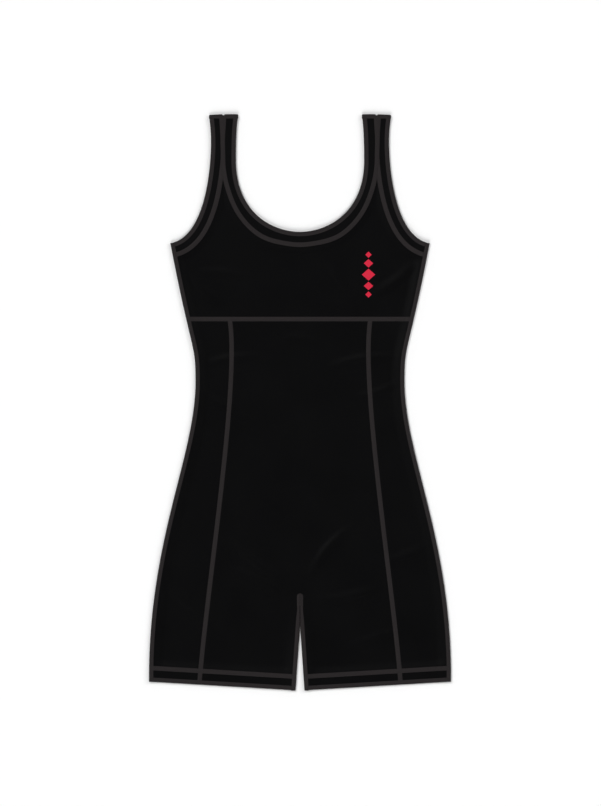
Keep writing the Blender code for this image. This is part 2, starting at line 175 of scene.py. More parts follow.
# Soft creases of the front as it lies: each bows aside, and falls off sooner on the side it bows to
CREASES = [
    # start x, start y, end x, end y, bow, height, half width, all in millimetres
    (176, 214, 92, 152, 9, 1.3, 15),
    (-174, 208, -104, 136, -8, 1.2, 14),
    (-170, 190, -60, 178, 7, 0.9, 16),
    (38, 214, 96, 140, -8, 0.9, 15),
    (150, 66, 30, 48, -8, 1.5, 13),
    (-149, 52, -48, 66, 7, 1.3, 14),
    (150, 34, 74, 8, 7, 1.3, 12),
    (-149, 22, -84, -16, -6, 1.1, 12),
    (-40, 92, 44, 78, 9, 0.8, 16),
    (8, -268, 96, -168, 14, 1.4, 14),
    (-8, -264, -106, -188, 12, 1.5, 14),
    (10, -286, 132, -262, -10, 1.2, 15),
    (-12, -290, -120, -238, -9, 1.1, 14),
    (200, -196, 108, -232, 10, 1.1, 15),
    (-208, -246, -118, -318, -10, 1.2, 16),
    (40, -372, 176, -330, 9, 0.9, 16),
]
STEEP_SIDE, CREASE_SWELL = 0.55, 1.3

# Stitching, as it lies on the cloth
SUNK, COVER_SUNK, UNDER = 0.1 * MM, -0.12 * MM, 0.05 * MM
COVER_EDGE = 0.02
LINE_STEP = 2 * MM
THREAD_SIDES, THREAD_BODY, THREAD_PROUD = 5, 0.4, 0.1
ONE_STITCH = [
    # where a thread starts as a share of the stitch, from which needle row, where it ends, on which row
    (-0.44, 0, 0.44, 0),
    (-0.44, 1, 0.44, 1),
    (-0.45, 0, 0.0, 1),
    (0.05, 1, 0.5, 0),
]
OUT, IN, UP, DOWN = (1, 0), (-1, 0), (0, 1), (0, -1)

# Where stitching tucks in under other stitching: from its edge, or within these shares of its width
TUCKED = 0.3 * MM
UNDER_SHARE = {"strap": 0.51, "edge": 0.95, "seam": 0.48}

# Stitching that differs from the rest: up the straps, and across the point between the legs
STRAP_NARROWEST_Y = 380 * MM
STRAP_SPREAD = 3.4 * MM
STRAP_OVERLAP, STRAP_TAPER = 24 * MM, 2 * MM
TIP_BELOW, TIP_FADE = 6 * MM, 8 * MM
STITCH_END = 0.3 * MM
TACK_WIDTH = 8.8 * MM
TACK_ABOVE, TACK_BELOW = 3.8 * MM, 15 * MM
TACK_PITCH, TACK_RAISED, TACK_BRIDGE = 1.1 * MM, 0.05 * MM, 1.7 * CROTCH_ROLL
TACK_OVERLAP, TACK_BLUNT = 1 * MM, 0.96

# The print: lozenges one above another
PRINT_X, PRINT_Y = 99.8 * MM, 186 * MM
LOZENGES = [
    # height over the print's middle, width, height, in millimetres
    (29, 9, 9),
    (16.5, 13.5, 12),
    (0, 19, 17),
    (-16.5, 13.5, 12),
    (-29, 9, 9),
]
LOZENGE_POINT = 1.02
LOZENGE_CUTS = 9, 13
PRINT_FILM = 0.14 * MM

# Knit stitches, per metre, how deep they are, and how the knit shines
KNIT_COLUMNS, KNIT_ROWS = 1500, 1900
KNIT_DEPTH = 0.04 * MM
STITCH_SLANT, STITCH_DIP = 1.1, 0.3
KNIT_SPECULAR, KNIT_SHEEN = 0.055, 0.022
PATCHES_PER_METRE, SHINE_VARIES = 14, 0.03

# Where the sheets are cut: down a leg, in a hem, across a band, round a rolled edge and in from a fold.
# Along a band, the next cut keeps clear of a roll by so many points of its line.
LEG_ROWS = [0, 0.012, 0.035, *np.linspace(0.07, 0.985, 30), 0.998]
HEM_ROWS = 0.75, 0.5, 0.25
BAND_COLUMNS = np.linspace(0.14, 0.86, 5)
ROLL_ANGLES = [0, 15, 30, 45, 60, 75, 90]
CLEAR_OF_ROLL = 1.5
FOLD_CUTS = np.array([0, 0.1, 0.28, 0.55, 0.9]) * MM
BLUNT_FOLD = 0.97

# How a band thins down to its seam: how far in it starts, and then how much, there and at the seam
BAND_SEAM_CUT = 1.5 * MM
BAND_SEAM_LOWERED = 0.12 * MM, 0.5 * MM
BAND_SEAM_THINNED = 0.2 * MM, 0.9 * MM

# Rough spans of the panels, which set how many cuts they have, and how much coarser the back is
BODICE_SPAN, CENTRE_SPAN, SIDE_SPAN, BACK_SPAN = 170 * MM, 100 * MM, 60 * MM, 100 * MM
BACK_COARSER = 2.2

# The stage. The shift of the picture is in pixels.
SUNS = [
    # name, direction and height over the floor in degrees, spread in degrees, strength
    ("key", -50, 54, 20, 1.5),
    ("fill", 65, 40, 38, 1.22),
    ("low", 190, 38, 38, 1.79),
]
SUN_DISTANCE, FLOOR_WIDTH = 2.6, 24
SENSOR = 36
PICTURE_SHIFT = 0.5, -0.75


def length_setting(name, description, default, low, high):
    """A length that a user may change. Its numbers are in millimetres."""
    return FloatProperty(
        name=name, description=description, unit="LENGTH", precision=5,
        default=default * MM, min=low * MM, max=high * MM,
    )


def colour_setting(name, description, *default):
    return FloatVectorProperty(
        name=name, description=description, subtype="COLOR", size=4, default=(*default, 1), min=0, max=1
    )


class UnitardSizes(bpy.types.PropertyGroup):
    inset: length_setting("Inset", "Depth of the cloth inside the solids, as room for thread", 0.5, 0.2, 1)
    pucker: length_setting("Pucker", "Height of the small puckers beside stitching", 0.22, 0, 1)
    ripple: length_setting("Ripple", "Height of the broad unevenness of the cloth as it lies", 0.5, 0, 2)
    spacing: length_setting("Spacing", "Distance between the points of a panel's mesh", 3.3, 2, 20)


class UnitardStitching(bpy.types.PropertyGroup):
    width: length_setting("Seam width", "Width of a flat seam's stitching", 6.6, 2, 12)
    pitch: length_setting("Stitch length", "Length of one stitch along the seam", 2.5, 1, 6)
    thread: length_setting("Thread", "Thickness of the thread as it lies on the cloth", 0.42, 0.1, 1)
    cover: length_setting("Cover", "Height of the covering threads between the needle rows", 0.22, 0.05, 1)


class UnitardColours(bpy.types.PropertyGroup):
    knit: colour_setting("Knit", "Colour of the panels", 0.0012, 0.0012, 0.0014)
    band: colour_setting("Bands", "Colour of the neck and armhole bands", 0.0013, 0.0013, 0.0015)
    thread: colour_setting("Thread", "Colour of the stitching", 0.0144, 0.0117, 0.0122)
    print_film: colour_setting("Print", "Colour of the printed lozenges", 0.57, 0.0165, 0.044)
    floor: colour_setting("Floor", "Colour of the floor", 0.875, 0.875, 0.875)


class UnitardStage(bpy.types.PropertyGroup):
    lens: FloatProperty(name="Lens", description="Focal length", default=200, min=20, max=300, unit="CAMERA")
    pixel: length_setting("Pixel", "Size of one pixel of the picture on the cloth", 1.45707, 0.1, 10)
    rows: IntProperty(name="Rows", description="Height of the picture in pixels", default=806, min=100)


def sizes():
    return bpy.context.scene.unitard_sizes


def stitching():
    return bpy.context.scene.unitard_stitching


def colours():
    return bpy.context.scene.unitard_colours


# Outline on the flat cloth


def bezier_line(name, steps=60):
    knots = [Vector((x * MM, y * MM)) for x, y in CURVES[name]]
    line = [knots[0]]
    for start in range(0, len(knots) - 1, 3):
        line += interpolate_bezier(*knots[start : start + 4], steps)[1:]
    return np.array([tuple(p) for p in line])


def lengthened(line, start, end):
    """A line carried straight on by these lengths."""
    before = line[0] + (line[0] - line[1]) / np.linalg.norm(line[0] - line[1]) * start
    after = line[-1] + (line[-1] - line[-2]) / np.linalg.norm(line[-1] - line[-2]) * end
    return np.vstack([before] * (start > 0) + [line] + [after] * (end > 0))


def normals(line, turn):
    way = np.gradient(line, axis=0)
    way /= np.linalg.norm(way, axis=1)[:, None]
    return np.stack([way[:, 1], -way[:, 0]], axis=1) * turn


def smooth(share):
    share = np.clip(share, 0, 1)
    return share * share * (3 - 2 * share)


SIDE = bezier_line("side")
PRINCESS = bezier_line("princess_seam")


def side_x(y):
    return np.interp(-y, -SIDE[:, 1], SIDE[:, 0])


def princess_x(y):
    return np.interp(-y, -PRINCESS[:, 1], PRINCESS[:, 0])


def shoulder_y(x):
    """The top of the strap, with its rounded corners and the small notch between the two bands."""
    slope = ARMHOLE_TOP_SLOPE * np.maximum(x - STRAP_SEAM_X, 0)
    notch = STRAP_NOTCH_DEPTH * smooth(1 - np.abs(x - STRAP_NOTCH_X) / STRAP_NOTCH_WIDTH)
    to_corner = np.minimum(x - STRAP_NECK_X, STRAP_ARM_X - x)
    short = np.clip(STRAP_CORNER - to_corner, 0, STRAP_CORNER)
    corner = STRAP_CORNER - np.sqrt(STRAP_CORNER**2 - short**2)
    return SHOULDER_Y - slope - notch - corner


def hem_edge_y(x):
    share = (x - HEM_INNER_X) / (HEM_SIDE_X - HEM_INNER_X)
    return HEM_INNER_Y + (HEM_SIDE_Y - HEM_INNER_Y) * share


def hem_line_y(x):
    return hem_edge_y(x) + HEM_DEPTH


def inner_leg_x(y):
    share = (SLIT_OPENS_Y - y) / (SLIT_OPENS_Y - HEM_INNER_Y)
    return np.maximum(SLIT, HEM_INNER_X * share)


def inner_leg_roll(y):
    share = np.clip((CROTCH_Y - y) / (CROTCH_Y - hem_line_y(0)), 0, 1)
    return CROTCH_ROLL + (ROLL - CROTCH_ROLL) * share


def unrolled(radius):
    """How much further flat cloth reaches than the same cloth rolled down at its edge."""
    return (QUARTER - 1) * radius


def distance_to(line, x, y):
    """Distance from each point to a line, by its nearest stretch."""
    flat = np.stack([np.ravel(x), np.ravel(y)], axis=-1)
    nearest = np.full(len(flat), np.inf)
    for start, end in zip(line, line[1:]):
        step = end - start
        along = np.clip((flat - start) @ step / (step @ step), 0, 1)
        nearest = np.minimum(nearest, np.linalg.norm(flat - start - along[:, None] * step, axis=1))
    return nearest.reshape(np.shape(x))


def band_width(name, share):
    """The width of a band below the strap, at shares of the way down it."""
    width = BAND_WIDTHS[name] + 0 * share
    for band, middle, change, reach in BAND_SWELLS:
        if band == name:
            width += change * MM * smooth(1 - np.abs(share - middle) / reach)
    return width


def band_lines():
    """Each band's folded edge and its seam, with the direction from the one to the other."""
    lines = {}
    for name, turn, end in (("neck", 1, 0), ("armhole", -1, OVERRUN)):
        edge = lengthened(bezier_line(f"{name}_edge"), OVERRUN, end)
        way_in = normals(edge, -turn)
        if name == "neck":
            way_in[-1] = (0, -1)
        sideways = way_in[:, 0].clip(*sorted((turn, LEAST_SIDEWAYS * turn)))
        to_strap_seam = np.abs((STRAP_SEAM_X - turn * GAP / 2 - edge[:, 0]) / sideways)
        share = np.linspace(0, 1, len(edge))
        below_strap = smooth((share - STRAP_FROM) / STRAP_FADE)
        width = to_strap_seam + (band_width(name, share) - to_strap_seam) * below_strap
        width = np.minimum(to_strap_seam, width)
        lines[name] = {"edge": edge, "way_in": way_in, "seam": edge + width[:, None] * way_in}
    return lines


BANDS = band_lines()


def place_at(line, where, scale=None):
    """Points of a line, by index or on another scale that its points have."""
    scale = np.arange(len(line)) if scale is None else scale
    return np.stack([np.interp(where, scale, column) for column in line.T], axis=-1)


def index_where(values, target):
    return np.interp(target, values, np.arange(len(values)))


def from_shoulder(line):
    return shoulder_y(line[:, 0]) + unrolled(ROLL) - line[:, 1]


def from_side(line):
    return side_x(line[:, 1]) + unrolled(ROLL) - line[:, 0]


def roll_distances(radius):
    return [max(GAP / 2, math.radians(a) * radius) for a in ROLL_ANGLES]


def run_lengths(line):
    return np.concatenate([[0], np.cumsum(np.linalg.norm(np.diff(line, axis=0), axis=1))])


def band_stations(name, spacing):
    """Where a band is cut across, as (index on its edge, index on its seam), and which cut is at the tip."""
    edge, seam = BANDS[name]["edge"], BANDS[name]["seam"]
    rolled = np.array(roll_distances(ROLL))
    found = np.stack([index_where(from_shoulder(line), rolled) for line in (edge, seam)], axis=1).tolist()
    last = len(edge) - 1
    closing = []
    if name == "armhole":
        closing = [index_where(-from_side(line), -rolled[::-1]) for line in (edge, seam)]
        closing = np.stack(closing, axis=1).tolist()
        last = closing[0][0] - CLEAR_OF_ROLL
    tip = index_where(-seam[:, 1], -HORN_TIP_Y)
    length = run_lengths(seam)
    whole = np.arange(len(edge))
    above = np.interp([found[-1][0] + CLEAR_OF_ROLL, tip], whole, length)
    below = np.interp([tip, last], whole, length)
    on_strap, under_strap = (max(3, round((b - a) / spacing)) for a, b in (above, below))
    stops = [*np.linspace(*above, on_strap), *np.linspace(*below, under_strap + 1)[1:]]
    at_tip = len(found) + on_strap - 1
    return found + [(i, i) for i in np.interp(stops, length, whole)] + closing, at_tip


# Laying the cloth down


def laid(x, y, layer, rest):
    """Flat cloth laid down: the point of its outer face, and the unit direction in through the cloth.

    layer is 1 for the front and -1 for the back, and may differ from point to point."""
    layer = layer + 0 * x
    even = np.full_like(x, ROLL)
    side, shoulder, inner_leg, inner_roll = side_x(y), shoulder_y(x), inner_leg_x(y), inner_leg_roll(y)
    folds = [
        # distance from the seam on the flat cloth, radius, where the seam lies, axis, way out, where it is
        (side + unrolled(ROLL) - x, even, side, 0, 1, y < UNDERARM_Y),
        (shoulder + unrolled(ROLL) - y, even, shoulder, 1, 1, y > STRAPS_Y),
        (x - inner_leg + unrolled(inner_roll), inner_roll, inner_leg, 0, -1, y < CROTCH_Y - TINY),
    ]
    point = np.stack([x, y, np.where(layer > 0, rest, 0)], axis=-1)
    inward = np.zeros_like(point)
    inward[..., 2] = -layer
    for distance, radius, seam, axis, out, here in folds:
        beyond = (distance - QUARTER * radius) / ROLL_EASE
        lift = (2 * radius - point[..., 2]) * smooth(1 - beyond)
        point[..., 2] += np.where(here & (layer > 0), lift, 0)
        rolled = here & (beyond <= TINY)
        angle = np.clip(distance / radius, 0, QUARTER)
        point[..., axis] = np.where(rolled, seam - out * radius * (1 - np.cos(angle)), point[..., axis])
        point[..., 2] = np.where(rolled, radius + layer * radius * np.sin(angle), point[..., 2])
        turned = np.zeros_like(point)
        turned[..., axis] = -out * np.cos(angle)
        turned[..., 2] = -layer * np.sin(angle)
        inward = np.where(rolled[..., None], turned, inward)
    return point, inward


def uneven(x, y, size, seed):
    """Soft unevenness from -1 to 1 at each point, with hollows and rises of about the given size."""
    flat = np.stack([np.ravel(x) / size, np.ravel(y) / size], axis=1)
    values = [noise.noise(Vector((u, v, seed))) for u, v in flat]
    return np.reshape(values, np.shape(x))


def crease_height(x, y):
    height = np.zeros_like(x)
    for *ends, bow, rise, half_width in CREASES:
        x0, y0, x1, y1 = (value * MM for value in ends)
        length = math.hypot(x1 - x0, y1 - y0)
        way_x, way_y = (x1 - x0) / length, (y1 - y0) / length
        along = np.clip(((x - x0) * way_x + (y - y0) * way_y) / length, 0, 1)
        aside = (y - y0) * way_x - (x - x0) * way_y - bow * MM * 4 * along * (1 - along)
        reach = half_width * MM * np.where(aside * bow > 0, STEEP_SIDE, 1)
        swell = rise * MM * np.sin(np.pi * along) ** CREASE_SWELL
        height = np.maximum(height, swell * smooth(1 - np.abs(aside) / reach))
    return height


def front_rest(x, y):
    """The height of the front's face over cloth that rests on cloth, with creases, ripples and puckers."""
    out = np.abs(x)
    seams = np.minimum(*(distance_to(BANDS[n]["seam"], out, y) for n in ("neck", "armhole")))
    bands = BAND_LIFT * smooth(1 - seams / BAND_EASE) * (y > EMPIRE_Y)
    to_hem = (y - hem_line_y(out)) / HEM_EASE
    hem = 2 * (HEM - CLOTH) * smooth(1 - to_hem)
    free = (1 - smooth(1 - to_hem)) * smooth(seams / BAND_EASE)
    ripples = sizes().ripple * (0.5 + 0.5 * uneven(x, y, RIPPLE_SIZE, RIPPLE_SEED)) * free
    stitched = np.minimum(np.minimum(seams, np.abs(y - EMPIRE_Y)), np.abs(y - hem_line_y(out)))
    stitched = np.minimum(stitched, np.where(y < EMPIRE_Y, np.abs(out - princess_x(y)), np.inf))
    puckers = sizes().pucker * (0.5 + 0.5 * uneven(x, y, PUCKER_SIZE, PUCKER_SEED))
    puckers *= smooth(1 - stitched / PUCKER_REACH)
    return 2 * CLOTH + GAP + bands + hem + np.maximum(crease_height(x, y) * free, ripples) + puckers


def band_rest(x, y):
    """The height of a front band's face over the back band."""
    return np.full_like(x, 2 * BAND + GAP)


ON_PANELS = front_rest, front_rest
ON_BANDS = band_rest, band_rest


def fold_section(distance, thickness):
    """How far a folded edge is rounded down, and how thick it is there, at distances from its fold."""
    radius = thickness / 2
    short = np.clip(radius - distance, 0, BLUNT_FOLD * radius)
    lowered = radius - np.sqrt(radius**2 - short**2)
    return lowered, thickness - 2 * lowered


# Flat grids of the panels


def top_line(spacing):
    """The top of the bodice or back, from the side to the centre: under the bands, round the tip."""
    neck_cuts, neck_tip = band_stations("neck", spacing)
    armhole_cuts, armhole_tip = band_stations("armhole", spacing)
    points = []
    for name, cuts in (("armhole", armhole_cuts[: armhole_tip - 1 : -1]), ("neck", neck_cuts[neck_tip:])):
        band = BANDS[name]
        for _, on_seam in cuts:
            points.append(place_at(band["seam"], on_seam) + GAP * place_at(band["way_in"], on_seam))
    return np.array(points)


def bodice_grid(level, top, count_rows):
    """The bodice, or the back's upper part: rows from a level line up to the top line."""
    rolled = roll_distances(ROLL)
    count = len(top) - len(rolled)
    low = [side_x(level) + unrolled(ROLL) - s for s in rolled]
    even = np.linspace(low[-1], 0, count + 1)[1:]
    like_top = top[len(rolled) :, 0] * low[-1] / top[len(rolled) - 1, 0]
    low = np.concatenate([low, (even + like_top) / 2])
    bottom = np.stack([low, np.full(len(low), level)], axis=1)
    length = np.linalg.norm(top - bottom, axis=1)
    dips = np.clip(SEAM_DIP_WIDTH / length, 0, MOST_DIP)
    rows = [bottom]
    for share in np.linspace(0, 1, count_rows):
        at = (dips + (1 - 2 * dips) * share)[:, None]
        rows.append(bottom + (top - bottom) * at)
    return np.array([*rows, top])


def row_level(row, x):
    """The height of a row at a place across: level on the body, and slanting to the hem on a leg."""
    kind, value = row
    if kind == "body":
        return value + 0 * x
    if kind == "leg":
        return CROTCH_Y + (hem_line_y(x) - CROTCH_Y) * value
    return hem_edge_y(x) + value


def body_rows(top, spacing):
    inset = sizes().inset
    count = round((top - CROTCH_Y) / spacing)
    body = [("body", y) for y in np.linspace(top - SEAM_DIP_WIDTH, CROTCH_Y + ROLL, count)]
    legs = [("leg", share) for share in LEG_ROWS]
    in_hem = [HEM_DEPTH * share for share in HEM_ROWS]
    hem = [("hem", y) for y in (HEM_DEPTH - GAP, *in_hem, *(inset + FOLD_CUTS[::-1]))]
    return [("body", top), *body, *legs, *hem]


def filled(inner, outer, columns, widths):
    shares = np.linspace(0, 1, columns + 2)[1:-1] if widths is None else widths
    between = [inner[-1] + (outer[-1] - inner[-1]) * s for s in shares]
    return np.stack([*inner, *between, *reversed(outer)], axis=-1)


def body_grid(rows, inner, outer, columns=0, widths=None):
    """A panel below the bust, between its inner and outer edges. A slanting row is found in a few steps."""
    lines = []
    for row in rows:
        level = np.array([row_level(row, 0)])
        x = filled(inner(level), outer(level), columns, widths)[0]
        for _ in range(4):
            y = row_level(row, x)
            places = filled(inner(y), outer(y), columns, widths)
            x = np.diagonal(places)
        lines.append(np.stack([x, y], axis=1))
    return np.array(lines)


def side_places(y):
    return [side_x(y) + unrolled(ROLL) - s for s in roll_distances(ROLL)]


def seam_places(direction):
    def places(y):
        return [princess_x(y) + direction * (GAP / 2 + w) for w in (0, SEAM_DIP_WIDTH)]

    return places


def centre_places(y):
    apart = CENTRE_COLUMN * (1 + (CENTRE_SPREAD - 1) * smooth((y - CROTCH_Y) / CENTRE_SPREAD_HEIGHT))
    radius = inner_leg_roll(y)
    places = []
    for k, angle in enumerate(ROLL_ANGLES):
        leg = inner_leg_x(y) - unrolled(radius) + np.maximum(GAP / 2, math.radians(angle) * radius)
        places.append(np.where(y < CROTCH_Y - TINY, leg, k * apart))
    return places


def panel_section(grid, dips):
    """How far each point of a panel's face is lowered, and how thick the cloth is there."""
    inset = sizes().inset
    from_hem = grid[..., 1] - hem_edge_y(grid[..., 0])
    in_hem = from_hem < HEM_DEPTH - GAP / 2
    lowered = np.zeros(grid.shape[:2])
    for part in dips:
        lowered[part] = SEAM_DIP
    folded, thickness = fold_section(from_hem - inset, HEM - inset)
    return inset + np.where(in_hem, folded, lowered), np.where(in_hem, thickness, CLOTH - inset)


# Meshes


def add_sheet(bm, flat, lowered, thickness, layer, half, rest, grain=None):
    """Adds one sheet of cloth: a flat grid laid down on one half, with its places along the knit."""
    grain = flat if grain is None else grain
    through = bm.verts.layers.float_vector["through"]
    uv = bm.loops.layers.uv.verify()
    x, y = flat[..., 0], flat[..., 1]
    point, inward = laid(x, y, layer, rest)
    mirror = np.array([half, 1, 1])
    outer = (point + inward * lowered[..., None]) * mirror
    inner = inward * thickness[..., None] * mirror
    verts = []
    for row, row_in in zip(outer, inner, strict=True):
        verts.append([bm.verts.new(p) for p in row])
        for vert, vector in zip(verts[-1], row_in, strict=True):
            vert[through] = vector
    for r in range(len(verts) - 1):
        for k in range(len(verts[r]) - 1):
            corners = ((r, k), (r, k + 1), (r + 1, k + 1), (r + 1, k))
            face = bm.faces.new([verts[i][j] for i, j in corners])
            for loop, (i, j) in zip(face.loops, corners, strict=True):
                loop[uv].uv = (half * grain[i, j, 0], grain[i, j, 1])


def sheet_piece(name, parts, material, node=None):
    """One piece from sheets that meet down the centre, extruded inward to the thickness of the cloth."""
    bm = bmesh.new()
    bm.verts.layers.float_vector.new("through")
    for part in parts:
        add_sheet(bm, *part)
    bmesh.ops.remove_doubles(bm, verts=bm.verts[:], dist=TINY)
    through = bm.verts.layers.float_vector["through"]
    made = bmesh.ops.extrude_face_region(bm, geom=bm.faces[:])["geom"]
    for vert in made:
        if isinstance(vert, bmesh.types.BMVert):
            vert.co += vert[through]
    bmesh.ops.recalc_face_normals(bm, faces=bm.faces[:])
    if bm.calc_volume(signed=True) < 0:
        bmesh.ops.reverse_faces(bm, faces=bm.faces[:])
    mesh = bpy.data.meshes.new(name)
    bm.to_mesh(mesh)
    bm.free()
    return finished(name, mesh, material, node)


def finished(name, mesh, material, node=None):
    mesh.shade_smooth()
    mesh.set_sharp_from_angle(angle=math.radians(60))
    mesh.materials.append(material)
    obj = bpy.data.objects.new(name, mesh)
    bpy.context.scene.collection.objects.link(obj)
    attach(obj, "root")
    if node:
        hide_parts(node)
    return obj


# Stitching


class Seam:
    """A line of stitching on the flat cloth, and how it lies.

    kind is "flat" where it runs along the middle of cloth, "wrap" where it goes round a rolled edge from
    the front to the back, and "fold" where it goes round the folded edge of one layer, whose radius is
    fold. across is the way across it. width is how far it reaches, seen from above, and may differ along
    it. rests gives the height of the face at its two edges, under tells where other stitching lies over
    it, and bridge is how near the centre line it comes before it crosses to the other half."""

    # Where the strip of covering threads has its points, across its reach
    SHARES = {
        "flat": [-0.5, -0.45, -0.3, -0.1, 0.1, 0.3, 0.45, 0.5],
        "wrap": [-1, -0.95, -0.75, *np.linspace(-0.55, 0.55, 11), 0.75, 0.95, 1],
        "fold": [0, 0.06, 0.13, 0.2, 0.27, 0.35, 0.5, 0.7, 0.92, 1],
    }
    # Where the needle rows run, and with how many rings a covering thread goes from one to the other
    ROWS = {"flat": (-0.42, 0.42), "wrap": (-0.94, 0.94), "fold": (0.06, 0.92)}
    RINGS = {"flat": 2, "wrap": 9, "fold": 6}

    def __init__(
        self, line, across, rests, layer=1, half=1, kind="flat", fold=0.0, width=None, under=None, bridge=0.0
    ):
        self.line, self.across, self.kind, self.fold = line, across + 0 * line, kind, fold
        self.layer, self.half, self.under, self.bridge = layer, half, under, bridge
        self.raised, self.pitch = 0.0, stitching().pitch
        self.at = run_lengths(line)
        self.length = self.at[-1]
        self.width = (stitching().width if width is None else width) + 0 * self.at
        reach = self.width[:, None] * self.across
        edges = (line - reach / 2, line + reach / 2) if kind == "flat" else (line, line + reach)
        self.rests = [rest(half * p[:, 0], p[:, 1]) for rest, p in zip(rests, edges, strict=True)]

    def reach(self, width):
        """The most that a stitch goes across, along the cloth."""
        if self.kind == "wrap":
            return width + unrolled(ROLL)
        if self.kind == "fold":
            return width - sizes().inset + unrolled(self.fold) + self.fold
        return width

    def places(self, along):
        """The line's points, the ways across and the widths at places along the seam."""
        return (np.interp(along, self.at, values) for values in (*self.line.T, *self.across.T, self.width))

    def lay(self, along, share, height):
        """Points at places along the seam and shares of its reach across, at a height over the cloth."""
        x, y, way_x, way_y, width = self.places(along)
        low, high = (np.interp(along, self.at, rest) for rest in self.rests)
        inset = sizes().inset
        height = height + self.raised
        layer, drop, seen = self.layer, inset - height, share
        across = share * self.reach(width)
        if self.kind == "wrap":
            layer = np.where(share < 0, -1, 1)
            across, seen = np.abs(across), np.abs(share)
        elif self.kind == "fold":
            across = across - self.fold
            angle = np.clip(across / self.fold, -QUARTER, QUARTER)
            over = np.maximum(across - QUARTER * self.fold, 0)
            drop = inset + self.fold - (self.fold + height) * np.sin(angle)
            across = inset + self.fold - (self.fold + height) * np.cos(angle) + over
        else:
            seen = share + 0.5
        x, y = x + across * way_x, y + across * way_y
        side, on_half = 1, x
        if self.bridge:
            side, on_half = np.where(x < 0, -1, 1), np.maximum(np.abs(x), self.bridge)
        point, inward = laid(on_half, y, layer, low + (high - low) * seen)
        if self.bridge:
            point[..., 0] = np.abs(x)
        if self.under is not None:
            drop = np.where(self.under(np.abs(x), y), np.maximum(drop, inset + UNDER), drop)
        point = point + inward * drop[..., None]
        point[..., 0] *= self.half * side
        return point

    def hidden(self, along, share):
        """Which places along the seam lie under other stitching."""
        if self.under is None:
            return np.zeros(len(along), dtype=bool)
        x, y, way_x, way_y, width = self.places(along)
        across = share * self.reach(width)
        return self.under(np.abs(x + across * way_x), y + across * way_y)


def cover_mesh(seam, points, faces):
    """The covering threads: a thin crowned strip, closed underneath."""
    height, step = stitching().cover, seam.pitch / 2
    shares = np.array(Seam.SHARES[seam.kind])
    crown = np.full(len(shares), height)
    crown[[0, -1]] *= COVER_EDGE
    rows = max(3, round(seam.length / step) + 1)
    along = np.linspace(0, seam.length, rows)[:, None] + 0 * shares
    share = shares + 0 * along
    top = seam.lay(along, share, crown + 0 * along)
    below = seam.lay(along, share, COVER_SUNK + 0 * along)
    add_rings(np.concatenate([top, below[:, ::-1]], axis=1), points, faces)


def add_rings(ring, points, faces):
    """Adds a closed tube from its rings of points, with flat ends."""
    first = sum(len(p) for p in points)
    rows, count = ring.shape[:2]
    points.append(ring.reshape(-1, 3))
    index = first + np.arange(rows * count).reshape(rows, count)
    turned = np.roll(index, -1, axis=1)
    quads = np.stack([index[:-1], turned[:-1], turned[1:], index[1:]], axis=-1).reshape(-1, 4)
    faces.extend(quads.tolist())
    for end, order in ((index[0], 1), (index[-1], -1)):
        for k in range(count // 2 - 1):
            corners = [end[k], end[k + 1], end[count - 2 - k], end[count - 1 - k]]
            faces.append([int(v) for v in corners[::order]])


def thread_shape(ring_count):
    """A thread's points, as (share of its length, aside, up): a tip, rings and a tip. And its faces."""
    turns = [k * 2 * math.pi / THREAD_SIDES for k in range(THREAD_SIDES)]
    stations = np.linspace(-THREAD_BODY, THREAD_BODY, ring_count)
    rings = [(t, math.cos(a), math.sin(a)) for t in stations for a in turns]
    last = 1 + THREAD_SIDES * (ring_count - 1)
    tips, walls = [], []
    for a in range(THREAD_SIDES):
        b = (a + 1) % THREAD_SIDES
        tips += [(0, 1 + b, 1 + a), (last + THREAD_SIDES, last + a, last + b)]
        for low in range(1, last, THREAD_SIDES):
            walls.append((low + a, low + b, low + THREAD_SIDES + b, low + THREAD_SIDES + a))
    return np.array([(-0.5, 0, 0), *rings, (0.5, 0, 0)]), tips, walls


def add_threads(seam, starts, ends, ring_count, points, faces):
    """Adds threads from place to place on a seam, (along, share) each, drawn in at their ends."""
    radius = stitching().thread / 2
    shape, *corners = thread_shape(ring_count)
    width = seam.reach(np.interp((starts + ends)[:, 0] / 2, seam.at, seam.width))
    scale = np.stack([np.ones(len(width)), width], axis=1)
    way = ends - starts
    true_way = way * scale
    aside = np.stack([-true_way[:, 1], true_way[:, 0]], axis=1) / np.linalg.norm(true_way, axis=1)[:, None]
    aside = aside * radius / scale
    along, over, up = shape.T
    place = (starts + ends)[:, None] / 2 + way[:, None] * along[:, None] + aside[:, None] * over[:, None]
    height = stitching().cover + radius * (THREAD_PROUD + up) + 0 * place[..., 0]
    height = np.where(np.abs(along) > THREAD_BODY, -SUNK, height)
    first = sum(len(p) for p in points)
    points.append(seam.lay(place[..., 0], place[..., 1], height).reshape(-1, 3))
    offsets = first + np.arange(len(starts)) * len(shape)
    for kind in map(np.array, corners):
        faces.extend((kind[None] + offsets[:, None, None]).reshape(-1, kind.shape[1]).tolist())


def stitch(seam, points, faces):
    """Covers a seam: a strip of covering threads, a zigzag over it and a needle row down each side."""
    cover_mesh(seam, points, faces)
    count = max(1, round(seam.length / seam.pitch))
    step = seam.length / count
    at = (np.arange(count) + 0.5) * step
    rows = Seam.ROWS[seam.kind]
    for begin, from_row, end, to_row in ONE_STITCH:
        ring_count = 2 if from_row == to_row else Seam.RINGS[seam.kind]
        starts = np.stack([np.maximum(at + begin * step, 0), np.full(count, rows[from_row])], axis=1)
        ends = np.stack([at + end * step, np.full(count, rows[to_row])], axis=1)
        shown = ~seam.hidden(*(starts + ends).T / 2)
        add_threads(seam, starts[shown], ends[shown], ring_count, points, faces)


